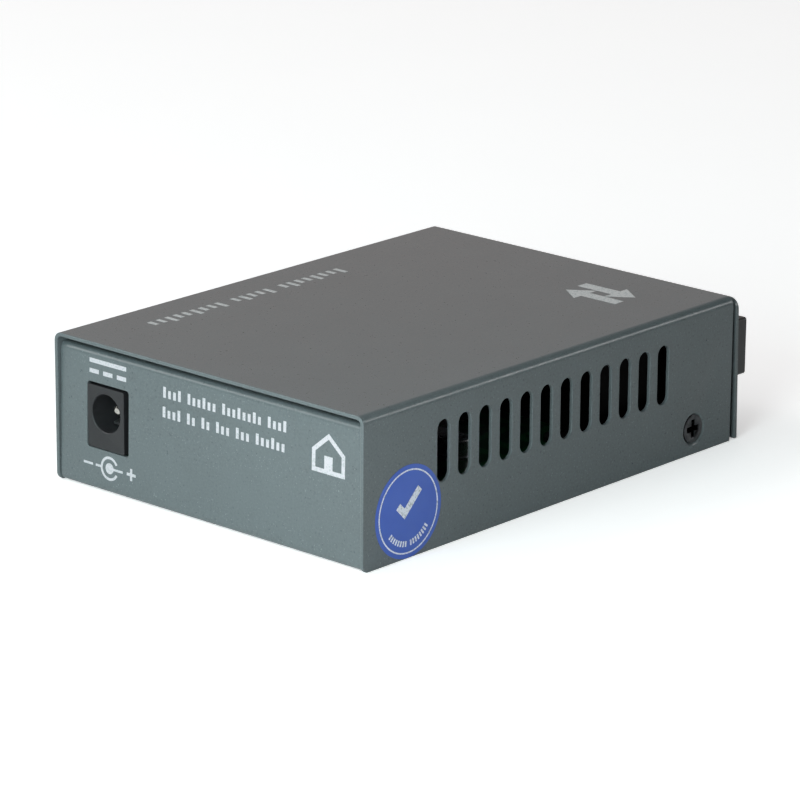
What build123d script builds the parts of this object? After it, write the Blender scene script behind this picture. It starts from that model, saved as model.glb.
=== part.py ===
from build123d import *
import os
from math import cos, radians, sin, sqrt, tan

# Compact fibre media converter in a folded steel case, lying flat as it is used.
# X runs across the case, Y from the DC inlet end to the port end, Z up from the floor.
# The origin is at the middle of the whole outline, on the floor. Lengths are in millimetres.

# Case
case_width = 70.4
case_length = 95.0
case_height = 26.2
sheet = 0.7
cover_bend = 1.5
cover_corner = 1.4
base_lift = 0.2
base_bend = 1.1
base_gap = 0.15
rear_top_gap = 1.1
rear_recess = 0.3
flange_length = 7.0
front_reach = 1.95
front_drop = 0.55
front_corner = 1.9
wall_lean = 1.2

# Vent slots in both sides of the cover
slot_count = 12
slot_pitch = 5.14
slot_width = 3.0
slot_length = 10.5
slot_height = 11.0

# Countersunk screws that hold the cover, in dimples of the cover and of the base's tabs
screw_from_front = 10.3
screw_height = 4.6
dimple_radius = 2.95
dimple_depth = 1.6
head_sink = 0.15
screw_hole_radius = 1.7
thread_radius = 1.5
shank_radius = 1.45
screw_length = 3.7
thread_depth = 0.9
driver_depth = 1.4
driver_length = 3.5
driver_width = 1.1
driver_length_taper = 0.45
driver_width_taper = 0.6
tab_length = 14.0
tab_height = 9.3
tab_foot = 4.0
seat_gap = 0.1

# Round label on the side
label_radius = 7.85
label_thickness = 0.06
label_from_rear = 10.7
label_height = 8.0

# Circuit board, standoffs and their screws
board_thickness = 1.6
board_side_gap = 0.65
board_end_gap = 1.3
board_corner = 1.0
standoff_height = 5.1
standoff_flats = 5.5
standoff_stem = 2.1
fixing_radius = 1.7
fixing_inset = 4.5
fixing_clearance = 5.4
notch_depth = 3.6
notch_length = 12.0
pan_head_radius = 2.75
pan_head_height = 2.0
pan_side_height = 0.9
pan_crown_radius = 1.7
board_screw_length = 5.2
lead_reach = 1.3
lead_gap = 0.12
touch_gap = 0.05

# DC inlet
inlet_width = 8.6
inlet_height = 10.9
inlet_length = 14.5
inlet_flange = 4.2
inlet_corner = 0.3
inlet_barrel_radius = 4.2
inlet_inset = 9.4
inlet_axis_height = 6.35
inlet_bore_radius = 3.3
inlet_bore_depth = 10.7
inlet_bore_chamfer = 0.15
inlet_pin_radius = 1.0
inlet_pin_recess = 2.45
inlet_pin_tip = 0.6
inlet_cut_width = 9.85
inlet_cut_height = 11.5
inlet_cut_shift = 0.5
inlet_cut_rise = -0.12
inlet_cut_corner = 0.6
blade_width = 2.8
blade_thickness = 0.4
spring_from_face = 9.5
spring_length = 5.0
spring_rise = 0.5
spring_tip = 1.2

# Network jack with eight spring contacts
jack_width = 16.0
jack_height = 13.4
jack_length = 21.3
jack_stand_out = 0.4
jack_shield = 0.3
jack_opening_width = 11.9
jack_opening_height = 7.0
jack_opening_depth = 13.5
jack_latch_width = 6.3
jack_latch_height = 1.9
jack_floor = 3.6
jack_peg_radius = 1.6
jack_peg_spacing = 11.4
jack_peg_depth = 12.5
jack_tail_width = 2.0
contact_count = 8
contact_pitch = 1.02
contact_width = 0.45
contact_thickness = 0.3
contact_slot = 0.6
contact_front = 2.2
contact_back = 10.5
contact_drop = 2.3
contact_turn = 1.3
panel_gap = 0.3

# Fibre module with its duplex receptacle
module_width = 25.4
module_length = 39.6
module_height = 12.9
module_foot = 0.2
nose_height = 10.3
nose_length = 16.5
body_inset = 0.5
port_reach = 4.75
port_pitch = 12.7
port_width = 8.2
port_height = 8.7
port_depth = 15.0
key_width = 2.4
key_height = 0.4
barrel_radius = 2.45
barrel_length = 8.5
sleeve_radius = 1.6
sleeve_bore = 1.25
sleeve_length = 7.0
sleeve_slit = 0.35
insert_plate = 1.2
latch_length = 9.0
latch_height = 4.6
latch_thickness = 0.9
latch_hook = 0.6
module_pin_count = 9
module_pin_pitch = 2.54
module_pin_radius = 0.25
module_pin_inset = 4.0
module_post_radius = 0.9
module_post_inset = 16.0

# Status lamps in their holders
lamp_radius_share = 0.349
lamp_column_count = 2
lamp_row_count = 3
lamp_spare_rows = 0.221
lamp_first_share = 0.721
lamp_stand_out = 0.9
lamp_dome_share = 0.9
lamp_depth = 4.6
holder_width = 5.0
holder_length = 6.4
holder_headroom = 4.05
holder_gap_share = 0.11
holder_chamfer = 2.0
jack_gap_share = 0.226

# Circuits on the board
leg_thickness = 0.15
leg_reach = 1.2
leg_shoulder = 0.42
leg_heel = 0.6
leg_width_share = 0.45
chip_size = (14.0, 14.0, 1.5)
chip_leg_count = 16
chip_leg_pitch = 0.8
memory_size = (3.9, 4.9, 1.5)
memory_leg_count = 4
memory_leg_pitch = 1.27
transformer_size = (12.7, 7.1, 5.0)
transformer_leg_count = 8
transformer_leg_pitch = 1.4
chip_chamfer = 0.25
crystal_size = (11.0, 4.6, 3.5)
crystal_rim = 0.5
regulator_size = (6.5, 3.5, 1.6)
regulator_tab = (3.0, 1.7, 0.3)
regulator_lead_width = 0.75
regulator_lead_pitch = 2.3
diode_size = (4.3, 3.6, 2.3)
diode_top = (3.7, 3.1)
diode_tab = (5.9, 1.6, 0.3)
can_radius = 4.0
can_height = 11.5
can_bead = 0.4
drum_radius = 4.2
drum_height = 4.6
drum_core_radius = 1.9
drum_rim = 0.9
winding_radius = 3.7
capacitor_size = (1.25, 2.0, 1.1)
capacitor_count = 7
resistor_size = (0.8, 1.6, 0.5)
resistor_count = 8
small_part_pitch = 2.9
small_row_gap = 2.4

# Where the circuits lie: share of the board's half width, and shift from its middle
chip_place = (0.0, -6.0)
memory_place = (-0.58, -8.0)
crystal_place = (0.55, -10.0)
far_can_place = (-0.76, 17.0)
transformer_gap = 8.0

# Shifts from the DC inlet's axis and the board's rear edge
drum_shift = (32.3, 8.0)
diode_shift = (41.8, 8.0)
near_can_shifts = [(9.8, 7.0), (19.8, 7.0)]
regulator_shifts = [(10.8, 19.5), (22.8, 19.5)]

# Places that follow from the sizes above
lean = tan(radians(wall_lean))
overall_length = case_length + front_reach + port_reach
rear_edge = -overall_length / 2
front_edge = rear_edge + case_length
cover_middle = rear_edge + case_length / 2
base_half_width = case_width / 2 - sheet - base_gap
rear_foot = rear_edge + rear_recess
front_foot = front_edge + front_reach
floor_top = base_lift + sheet
rear_top = case_height - sheet - rear_top_gap
front_top = case_height - front_drop
screw_y = front_edge - screw_from_front

board_bottom = floor_top + standoff_height
board_top = board_bottom + board_thickness
board_half_width = base_half_width - sheet - board_side_gap
board_rear = rear_foot + sheet + board_end_gap
board_front = front_foot - sheet - board_end_gap
board_middle = (board_rear + board_front) / 2
lead_end = board_bottom - lead_reach
lead_length = board_thickness + lead_reach

inlet_x = -board_half_width + inlet_inset
inlet_z = board_top + inlet_axis_height
inlet_face = rear_foot + (board_top + inlet_height / 2 - base_lift) * lean
inlet_back = inlet_face + inlet_length
spring_y = inlet_face + spring_from_face

module_x = board_half_width - module_width / 2
module_face = front_foot + port_reach
module_rear = module_face - module_length
module_bottom = board_top + module_foot
module_top = module_bottom + module_height
nose_rear = module_face - nose_length
port_z = module_top - nose_height / 2
port_back = module_face - port_depth
port_xs = [module_x - port_pitch / 2, module_x + port_pitch / 2]
fixing_x = board_half_width - fixing_inset
fixing_ys = [inlet_back + fixing_clearance, module_rear - fixing_clearance]
fixings = [(x, y) for x in (-fixing_x, fixing_x) for y in fixing_ys]
module_pin_span = module_pin_pitch * (module_pin_count - 1)
module_pin_places = [
    (module_x - module_pin_span / 2 + n * module_pin_pitch, module_rear + module_pin_inset)
    for n in range(module_pin_count)
]
module_post_places = [
    (module_x - module_pin_span / 2, module_rear + module_post_inset),
    (module_x + module_pin_span / 2, module_rear + module_post_inset),
]

free_width = 2 * board_half_width - module_width - jack_width - lamp_column_count * holder_width
holder_gap = holder_gap_share * free_width
jack_x = module_x - module_width / 2 - jack_gap_share * free_width - jack_width / 2
jack_face = front_foot + jack_stand_out
jack_rear = jack_face - jack_length
jack_top = board_top + jack_height
insert_rear = jack_rear + jack_shield + touch_gap
insert_top = jack_top - jack_shield - touch_gap
opening_bottom = board_top + jack_floor
opening_top = opening_bottom + jack_opening_height
contact_span = contact_pitch * (contact_count - 1)
contact_xs = [jack_x - contact_span / 2 + n * contact_pitch for n in range(contact_count)]
contact_y = insert_rear + contact_slot / 2
contact_hole = sqrt(contact_width**2 + contact_thickness**2) / 2 + lead_gap
peg_places = [(jack_x + side * jack_peg_spacing / 2, jack_face - jack_peg_depth) for side in (-1, 1)]

holder_height = case_height - sheet - holder_headroom - board_top
lamp_pitch = holder_height / (lamp_row_count + lamp_spare_rows)
lamp_radius = lamp_radius_share * lamp_pitch
lamp_zs = [board_top + (lamp_first_share + n) * lamp_pitch for n in range(lamp_row_count)]
lamp_face = front_foot - (board_top + holder_height - base_lift) * lean - sheet - panel_gap
lamp_xs = [
    jack_x - jack_width / 2 - holder_gap - holder_width / 2 - n * (holder_width + holder_gap)
    for n in range(lamp_column_count)
]

chip_at = (chip_place[0] * board_half_width, board_middle + chip_place[1])
memory_at = (memory_place[0] * board_half_width, board_middle + memory_place[1])
crystal_at = (crystal_place[0] * board_half_width, board_middle + crystal_place[1])
transformer_at = (jack_x, jack_rear - transformer_gap)
drum_at = (inlet_x + drum_shift[0], board_rear + drum_shift[1])
diode_at = (inlet_x + diode_shift[0], board_rear + diode_shift[1])
can_places = [(inlet_x + x, board_rear + y) for x, y in near_can_shifts]
can_places.append((far_can_place[0] * board_half_width, board_middle + far_can_place[1]))
regulator_places = [(inlet_x + x, board_rear + y) for x, y in regulator_shifts]


def block(x, y, z, across, along, up):
    """Box centred at x and y that stands on height z."""
    return Pos(x, y, z) * Box(across, along, up, align=(Align.CENTER, Align.CENTER, Align.MIN))


def bar(x, y, z, across, along, up):
    """Box centred at x and z that runs from y towards +Y."""
    return Pos(x, y, z) * Box(across, along, up, align=(Align.CENTER, Align.MIN, Align.CENTER))


def post(x, y, z, radius, height):
    """Cylinder that stands on height z."""
    return Pos(x, y, z) * Cylinder(radius, height, align=(Align.CENTER, Align.CENTER, Align.MIN))


def rod(x, y, z, radius, length):
    """Cylinder that runs from y towards +Y."""
    shape = Cylinder(radius, length, align=(Align.CENTER, Align.CENTER, Align.MIN))
    return Location((x, y, z), (-90, 0, 0)) * shape


def spun(profile, x, y, z):
    """Solid turned about a vertical axis from radius and height points."""
    outline = make_face(Polyline(*profile, close=True))
    return Pos(x, y, z) * revolve(Plane.XZ * outline, Axis.Z)


def bent_section(points, thickness):
    """Section of sheet bent along a line, with its thickness to the line's right."""
    line = [Vector(*point) for point in points]
    runs = [(end - start).normalized() for start, end in zip(line, line[1:])]
    back = []
    for point, before, after in zip(line, [runs[0], *runs], [*runs, runs[-1]]):
        middle = (before + after).normalized()
        back.append(point + Vector(middle.Y, -middle.X) * (thickness / before.dot(middle)))
    return make_face(Polyline(*line, *reversed(back), close=True))


def strip(points, thickness, width, x):
    """Strip bent along points in Y and Z, with its thickness to the line's right."""
    return Pos(x, 0, 0) * extrude(Plane.YZ * bent_section(points, thickness), width / 2, both=True)


def cross_recess():
    """Tapered cross for a screwdriver, pointing down from z = 0."""
    tip_length = driver_length * driver_length_taper
    tip_width = driver_width * driver_width_taper
    mouth = Rectangle(driver_length, driver_width) + Rectangle(driver_width, driver_length)
    tip = Rectangle(tip_length, tip_width) + Rectangle(tip_width, tip_length)
    return loft([mouth.face(), (Pos(0, 0, -driver_depth) * tip).face()])


def screw_shape(side, *steps):
    """Solid turned about a cover screw's axis, from radius and depth below the cover's face."""
    shape = spun([(0, steps[0][1]), *steps, (0, steps[-1][1])], 0, 0, 0)
    return Location((side * case_width / 2, screw_y, screw_height), (0, -90 * side, 0)) * shape


def top_cover():
    """Folded U of sheet with vent slots, screw dimples and rounded lower rear corners."""
    outside = Pos(0, case_height / 2) * Rectangle(case_width, case_height)
    outside = fillet(outside.vertices().group_by(Axis.Y)[-1], cover_bend)
    inner_height = case_height - sheet
    inside = Pos(0, inner_height / 2) * Rectangle(case_width - 2 * sheet, inner_height)
    inside = fillet(inside.vertices().group_by(Axis.Y)[-1], cover_bend - sheet)
    cover = Pos(0, cover_middle, 0) * extrude(Plane.XZ * (outside - inside), case_length / 2, both=True)
    rear_corners = cover.edges().filter_by(Axis.X).group_by(Axis.Z)[0].group_by(Axis.Y)[0]
    cover = fillet(rear_corners, cover_corner)

    slot = Rot(0, 0, 90) * SlotOverall(slot_length, slot_width)
    middle = Pos(cover_middle, slot_height + slot_length / 2)
    slots = Sketch() + [middle * place * slot for place in GridLocations(slot_pitch, 1, slot_count, 1)]
    cover -= extrude(Plane.YZ * slots, case_width, both=True)

    # A 45 degree dimple is wider outside its sheet than inside by the sheet times root two.
    outer_radius = dimple_radius + sheet * sqrt(2)
    seat_depth = dimple_radius - screw_hole_radius
    for side in (-1, 1):
        cone = [(outer_radius - sheet, sheet), (outer_radius - dimple_depth, dimple_depth)]
        cover += screw_shape(side, *cone)
        hole = [(dimple_radius, 0), (screw_hole_radius, seat_depth), (screw_hole_radius, dimple_depth)]
        cover -= screw_shape(side, *hole)
    return cover


def screw_tab():
    """Tab bent up from the base's floor on the +X side."""
    path = FilletPolyline(
        (base_half_width - tab_foot, base_lift),
        (base_half_width, base_lift),
        (base_half_width, tab_height),
        radius=base_bend,
    )
    section = make_face(offset(path, sheet, side=Side.LEFT))
    tab = Pos(0, screw_y, 0) * extrude(Plane.XZ * section, tab_length / 2, both=True)
    return fillet(tab.edges().filter_by(Axis.X).group_by(Axis.Z)[-1], base_bend)


def front_wall():
    """Flat wall as wide as the cover, on its own leaning plane."""
    slope = radians(wall_lean)
    plane = Plane(
        origin=(0, front_foot, base_lift), x_dir=(-1, 0, 0), z_dir=(0, cos(slope), sin(slope))
    )
    height = (front_top - base_lift) / cos(slope)
    outline = Pos(0, height / 2) * Rectangle(case_width, height)
    outline = fillet(outline.vertices().group_by(Axis.Y)[-1], front_corner)
    wall = extrude(plane * outline, -sheet)
    return wall - block(0, front_foot, 0, 2 * base_half_width, 4 * sheet, base_lift + base_bend)


def base_chassis():
    """Folded sheet: floor, rear wall with its flange, full-width front wall and two screw tabs."""
    path = FilletPolyline(
        (rear_foot + (rear_top - base_lift) * lean + flange_length, rear_top),
        (rear_foot + (rear_top - base_lift) * lean, rear_top),
        (rear_foot, base_lift),
        (front_foot, base_lift),
        (front_foot - 2 * base_bend * lean, base_lift + 2 * base_bend),
        radius=base_bend,
    )
    section = make_face(offset(path, sheet, side=Side.LEFT))
    base = extrude(Plane.YZ * section, base_half_width, both=True) + front_wall()

    tab = screw_tab()
    for side, piece in ((1, tab), (-1, mirror(tab, about=Plane.YZ))):
        edge = side * (base_half_width - tab_foot / 2)
        base -= block(edge, screw_y, 0, tab_foot, tab_length + 2 * sheet, 2 * floor_top)
        base += piece
        face = sheet + base_gap
        recess_radius = dimple_radius + (sheet + seat_gap) * sqrt(2)
        recess_end = dimple_depth + seat_gap
        outer_radius = recess_radius + sheet * sqrt(2)
        thread_end = recess_end + thread_depth
        back = face + sheet
        base += screw_shape(side, (outer_radius - back, back), (outer_radius - thread_end, thread_end))
        base -= screw_shape(side, (recess_radius - face, face), (recess_radius - recess_end, recess_end))
        base -= screw_shape(side, (thread_radius, recess_end), (thread_radius, thread_end))

    for x, y in fixings:
        base -= post(x, y, 0, standoff_stem + touch_gap, 2 * floor_top)

    inlet_cut = Plane.XZ * RectangleRounded(inlet_cut_width, inlet_cut_height, inlet_cut_corner)
    cut_z = board_top + inlet_cut_rise + inlet_cut_height / 2
    base -= Pos(inlet_x + inlet_cut_shift, rear_foot, cut_z) * extrude(inlet_cut, 4 * sheet, both=True)

    start = front_foot - 4 * sheet
    depth = 8 * sheet
    jack_z = board_top + jack_height / 2
    base -= bar(jack_x, start, jack_z, jack_width + 2 * panel_gap, depth, jack_height + 2 * panel_gap)
    base -= bar(module_x, start, port_z, module_width + 2 * panel_gap, depth, nose_height + 2 * panel_gap)
    for x in lamp_xs:
        for z in lamp_zs:
            base -= rod(x, start, z, lamp_radius + panel_gap / 2, depth)
    return base


def cover_screws():
    """Countersunk screws with a cross recess, one in each side."""
    head_radius = dimple_radius - head_sink - touch_gap
    shank_depth = head_sink + head_radius - shank_radius
    end = head_sink + screw_length
    profile = [(head_radius, head_sink), (shank_radius, shank_depth), (shank_radius, end)]
    screws = []
    for side in (-1, 1):
        place = Location((side * (case_width / 2 - head_sink), screw_y, screw_height), (0, 90 * side, 0))
        screws.append(screw_shape(side, *profile) - place * cross_recess())
    return Compound(screws)


def side_label():
    """Thin round label stuck on the +X side of the cover."""
    place = Location((case_width / 2, rear_edge + label_from_rear, label_height), (0, 90, 0))
    return place * Cylinder(label_radius, label_thickness, align=(Align.CENTER, Align.CENTER, Align.MIN))


def circuit_board():
    """Board with fixing holes, edge notches for the screw tabs, and holes for every lead."""
    outline = Pos(0, board_middle) * Rectangle(2 * board_half_width, board_front - board_rear)
    outline = fillet(outline.vertices(), board_corner)
    for side in (-1, 1):
        outline -= Pos(side * board_half_width, screw_y) * Rectangle(2 * notch_depth, notch_length)
        tail = jack_x + side * (jack_width - jack_shield) / 2
        outline -= Pos(tail, jack_rear + jack_length / 2) * Rectangle(
            jack_shield + 2 * lead_gap, jack_tail_width + 2 * lead_gap
        )
    for y in (spring_y + blade_thickness / 2, inlet_back + blade_thickness / 2):
        outline -= Pos(inlet_x, y) * Rectangle(blade_width + 2 * lead_gap, blade_thickness + 2 * lead_gap)
    holes = [(place, fixing_radius) for place in fixings]
    holes += [(place, module_pin_radius + lead_gap) for place in module_pin_places]
    holes += [(place, module_post_radius + lead_gap) for place in module_post_places]
    holes += [(place, jack_peg_radius + lead_gap) for place in peg_places]
    holes += [((x, contact_y), contact_hole) for x in contact_xs]
    for place, radius in holes:
        outline -= Pos(*place) * Circle(radius)
    return extrude(Pos(0, 0, board_bottom) * outline, board_thickness)


def board_standoffs():
    """Hexagonal standoffs pressed through the floor."""
    standoffs = []
    for x, y in fixings:
        hexagon = RegularPolygon(standoff_flats / 2, 6, major_radius=False)
        standoff = extrude(Pos(x, y, floor_top) * hexagon, standoff_height)
        standoff += post(x, y, base_lift, standoff_stem, sheet)
        standoffs.append(standoff - post(x, y, floor_top, thread_radius, standoff_height))
    return Compound(standoffs)


def board_screws():
    """Pan-head screws with a cross recess that clamp the board."""
    head = [
        (0, 0),
        (pan_head_radius, 0),
        (pan_head_radius, pan_side_height),
        (pan_crown_radius, pan_head_height),
        (0, pan_head_height),
    ]
    screws = []
    for x, y in fixings:
        screw = spun(head, x, y, board_top)
        screw += post(x, y, board_top - board_screw_length, shank_radius, board_screw_length)
        screws.append(screw - Pos(x, y, board_top + pan_head_height) * cross_recess())
    return Compound(screws)


def dc_inlet_housing():
    """Moulded inlet: square flange, round-topped barrel, bore, and a slot for the spring."""
    flange = extrude(Plane.XZ * RectangleRounded(inlet_width, inlet_height, inlet_corner), -inlet_flange)
    flange = Pos(inlet_x, inlet_face, board_top + inlet_height / 2) * flange
    barrel = Pos(0, inlet_axis_height) * Circle(inlet_barrel_radius)
    barrel += Pos(0, inlet_axis_height / 2) * Rectangle(2 * inlet_barrel_radius, inlet_axis_height)
    housing = flange + Pos(inlet_x, inlet_face, board_top) * extrude(Plane.XZ * barrel, -inlet_length)
    housing -= rod(inlet_x, inlet_face, inlet_z, inlet_bore_radius, inlet_bore_depth)
    mouth = Location((inlet_x, inlet_face, inlet_z), (-90, 0, 0)) * Cone(
        inlet_bore_radius + inlet_bore_chamfer,
        inlet_bore_radius,
        inlet_bore_chamfer,
        align=(Align.CENTER, Align.CENTER, Align.MIN),
    )
    housing -= mouth
    housing -= rod(inlet_x, inlet_face, inlet_z, inlet_pin_radius + touch_gap, inlet_length)
    slot_height_z = inlet_z - inlet_pin_radius - 2 * blade_thickness - board_top
    slot_y = spring_y + blade_thickness / 2
    slot_width_x = blade_width + 2 * lead_gap
    slot_length_y = blade_thickness + 4 * lead_gap
    return housing - block(inlet_x, slot_y, board_top, slot_width_x, slot_length_y, slot_height_z)


def dc_inlet_pin():
    """Centre pin with a rounded tip, riveted through the back of the housing."""
    start = inlet_face + inlet_pin_recess
    pin = rod(inlet_x, start, inlet_z, inlet_pin_radius, inlet_back - start)
    return fillet(pin.edges().group_by(Axis.Y)[0], inlet_pin_tip)


def dc_inlet_contacts():
    """Spring leaf under the bore, and the blade behind the pin; both go through the board."""
    half = blade_width / 2
    low = inlet_z - sqrt(inlet_bore_radius**2 - half**2) + touch_gap
    leaf = strip(
        [
            (spring_y, lead_end),
            (spring_y, low),
            (spring_y - spring_length, low + spring_rise),
            (spring_y - spring_length - spring_tip, low + spring_rise / 2),
        ],
        blade_thickness,
        blade_width,
        inlet_x,
    )
    rise = inlet_z + half
    outline = [
        (-half, board_top),
        (-half, rise),
        (half, rise),
        (half, board_top),
        (half / 2, lead_end),
        (-half / 2, lead_end),
    ]
    blade = extrude(Plane.XZ * make_face(Polyline(*outline, close=True)), -blade_thickness)
    return Compound([leaf, Pos(inlet_x, inlet_back, 0) * blade])


def network_jack_shield():
    """Folded can round the jack, open at the front and below, with two ground tails."""
    middle_y = jack_rear + jack_length / 2
    shield = block(jack_x, middle_y, board_top, jack_width, jack_length, jack_height)
    top_edges = shield.edges().filter_by(Axis.Y).group_by(Axis.Z)[-1]
    shield = fillet(top_edges, 2 * jack_shield)
    hollow_width = jack_width - 2 * jack_shield
    hollow_height = jack_height - jack_shield
    hollow = block(jack_x, middle_y + jack_shield, board_top, hollow_width, jack_length, hollow_height)
    hollow = fillet(hollow.edges().filter_by(Axis.Y).group_by(Axis.Z)[-1], jack_shield)
    shield -= hollow
    for side in (-1, 1):
        x = jack_x + side * (jack_width - jack_shield) / 2
        shield += block(x, middle_y, lead_end, jack_shield, jack_tail_width, lead_length)
    return shield


def network_jack_insert():
    """Moulded block with the stepped plug opening, a comb for the contacts and two pegs."""
    width = jack_width - 2 * (jack_shield + touch_gap)
    length = jack_face - touch_gap - insert_rear
    insert = block(jack_x, insert_rear + length / 2, board_top, width, length, insert_top - board_top)
    insert = fillet(insert.edges().filter_by(Axis.Y).group_by(Axis.Z)[-1], jack_shield)
    start = jack_face - jack_opening_depth
    opening_z = opening_bottom + jack_opening_height / 2
    insert -= bar(jack_x, start, opening_z, jack_opening_width, jack_opening_depth, jack_opening_height)
    latch_z = opening_bottom - jack_latch_height / 2
    insert -= bar(jack_x, start, latch_z, jack_latch_width, jack_opening_depth, jack_latch_height)

    # Three cuts for each wire: along the top, down into the opening, and up the back.
    comb_front = jack_face - contact_front + touch_gap
    for x in contact_xs:
        cuts = [
            (insert_rear, comb_front, insert_top - contact_slot),
            (start, comb_front, opening_top),
            (insert_rear - contact_slot, insert_rear + contact_slot, board_top),
        ]
        for rear, front, bottom in cuts:
            middle_y = (rear + front) / 2
            insert -= block(x, middle_y, bottom, contact_slot, front - rear, insert_top - bottom)
    for x, y in peg_places:
        insert += post(x, y, lead_end, jack_peg_radius, lead_length)
    return insert


def network_jack_contacts():
    """Spring wires: up the back, along the top, round the comb and down into the opening."""
    rear = contact_y - contact_thickness / 2
    top = insert_top - contact_slot + contact_thickness
    front = jack_face - contact_front
    path = [
        (rear, lead_end),
        (rear, top),
        (front, top),
        (front, top - contact_turn),
        (jack_face - contact_back, opening_top - contact_drop + contact_thickness),
    ]
    return Compound([strip(path, contact_thickness, contact_width, x) for x in contact_xs])


def fibre_module_housing():
    """Moulded module: low body on the board, and a nose with two keyed receptacles."""
    body_length = module_length - nose_length
    body_width = module_width - 2 * body_inset
    body_y = module_rear + body_length / 2
    body = block(module_x, body_y, module_bottom, body_width, body_length, module_height)
    nose = bar(module_x, nose_rear, port_z, module_width, nose_length, nose_height)
    nose = fillet(nose.edges().filter_by(Axis.Y), body_inset)
    housing = body + nose
    for x in port_xs:
        housing -= bar(x, port_back, port_z, port_width, port_depth, port_height)
        key_z = port_z + (port_height + key_height) / 2
        housing -= bar(x, port_back, key_z, key_width, port_depth, key_height)
    for x, y in module_post_places:
        housing += post(x, y, board_top, 2 * module_post_radius, module_foot)
        housing += post(x, y, lead_end, module_post_radius, lead_length)
    return housing


def fibre_port_inserts():
    """One moulding in each receptacle: back plate, barrel and two hooked latch arms."""
    plate_front = port_back + insert_plate
    inserts = []
    for x in port_xs:
        width, height = port_width - 2 * touch_gap, port_height - 2 * touch_gap
        piece = bar(x, port_back, port_z, width, insert_plate, height)
        piece += rod(x, plate_front, port_z, barrel_radius, barrel_length)
        piece -= rod(x, plate_front, port_z, sleeve_radius + touch_gap, barrel_length)
        for side in (-1, 1):
            outer = side * width / 2
            inner = outer - side * latch_thickness
            arm = [
                (outer, plate_front),
                (outer, plate_front + latch_length),
                (inner, plate_front + latch_length),
                (inner - side * latch_hook, plate_front + latch_length - 2 * latch_hook),
                (inner, plate_front + latch_length - 2.5 * latch_hook),
                (inner, plate_front),
            ]
            profile = make_face(Polyline(*arm, close=True))
            piece += Pos(x, 0, port_z) * extrude(profile, latch_height / 2, both=True)
        inserts.append(piece)
    return Compound(inserts)


def fibre_port_sleeves():
    """Split sleeves that line up the plug's ferrules."""
    start = port_back + insert_plate
    sleeves = []
    for x in port_xs:
        sleeve = rod(x, start, port_z, sleeve_radius, sleeve_length)
        sleeve -= rod(x, start, port_z, sleeve_bore, sleeve_length)
        slit = bar(x, start, port_z + sleeve_radius, sleeve_slit, sleeve_length, sleeve_radius)
        sleeves.append(sleeve - slit)
    return Compound(sleeves)


def fibre_module_pins():
    """Row of round pins from the module through the board."""
    height = module_bottom - lead_end
    return Compound([post(x, y, lead_end, module_pin_radius, height) for x, y in module_pin_places])


def lamp_holders():
    """Upright blocks that hold a column of lamps each, chamfered at the back."""
    holders = []
    middle_y = lamp_face - holder_length / 2
    for x in lamp_xs:
        holder = block(x, middle_y, board_top, holder_width, holder_length, holder_height)
        rear_edge_top = holder.edges().filter_by(Axis.X).group_by(Axis.Z)[-1].group_by(Axis.Y)[0]
        holder = chamfer(rear_edge_top, holder_chamfer)
        for z in lamp_zs:
            holder -= rod(x, lamp_face - lamp_depth, z, lamp_radius + touch_gap, lamp_depth)
        holders.append(holder)
    return Compound(holders)


def status_lamps():
    """Round lamps with domed ends that look out through the front wall."""
    length = front_foot + lamp_stand_out - (lamp_face - lamp_depth)
    lamps = []
    for x in lamp_xs:
        for z in lamp_zs:
            lamp = rod(x, lamp_face - lamp_depth, z, lamp_radius, length)
            lamps.append(fillet(lamp.edges().group_by(Axis.Y)[-1], lamp_dome_share * lamp_radius))
    return Compound(lamps)


def package(size, place):
    """Moulded chip body just off the board, with chamfered upper edges."""
    width, length, height = size
    body = block(*place, board_top + leg_thickness, width, length, height - leg_thickness)
    return chamfer(body.edges().group_by(Axis.Z)[-1], chip_chamfer)


def legs(size, place, count, pitch, turns):
    """Gull-wing legs in rows; each turn is the angle of a row's outward direction from +X."""
    width, length, height = size
    rise = height / 2
    path = [(0, rise), (leg_shoulder, rise), (leg_heel, leg_thickness), (leg_reach, leg_thickness)]
    leg = extrude(Plane.XZ * bent_section(path, leg_thickness), pitch * leg_width_share / 2, both=True)
    rows = []
    for turn in turns:
        out = width / 2 if turn % 180 == 0 else length / 2
        for n in range(count):
            along = (n - (count - 1) / 2) * pitch
            rows.append(Pos(*place, board_top) * Rot(0, 0, turn) * Pos(out, along, 0) * leg)
    return Compound(rows)


def clock_crystal():
    """Oval metal can on a rimmed base."""
    width, length, height = crystal_size
    can = extrude(SlotOverall(width, length), height)
    can = fillet(can.edges().group_by(Axis.Z)[-1], crystal_rim)
    rim = extrude(SlotOverall(width + 2 * crystal_rim, length + 2 * crystal_rim), crystal_rim)
    return Pos(*crystal_at, board_top) * (can + rim)


def voltage_regulators():
    """Small power packages with a wide tab behind and three tabs in front."""
    width, length, height = regulator_size
    tab_width, tab_reach, tab_thickness = regulator_tab
    regulators = []
    for x, y in regulator_places:
        body = block(x, y, board_top, width, length, height)
        body = chamfer(body.edges().group_by(Axis.Z)[-1], chip_chamfer)
        body += block(x, y + length / 2, board_top, tab_width, 2 * tab_reach, tab_thickness)
        for n in (-1, 0, 1):
            lead_x = x + n * regulator_lead_pitch
            lead = (regulator_lead_width, 2 * tab_reach, tab_thickness)
            body += block(lead_x, y - length / 2, board_top, *lead)
        regulators.append(body)
    return Compound(regulators)


def protection_diode():
    """Moulded diode, narrower at the top, with a tab at each end."""
    width, length, height = diode_size
    foot = Rectangle(width, length)
    head = Pos(0, 0, height) * Rectangle(*diode_top)
    body = loft([foot.face(), head.face()])
    return Pos(*diode_at, board_top) * (body + block(0, 0, 0, *diode_tab))


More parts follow.
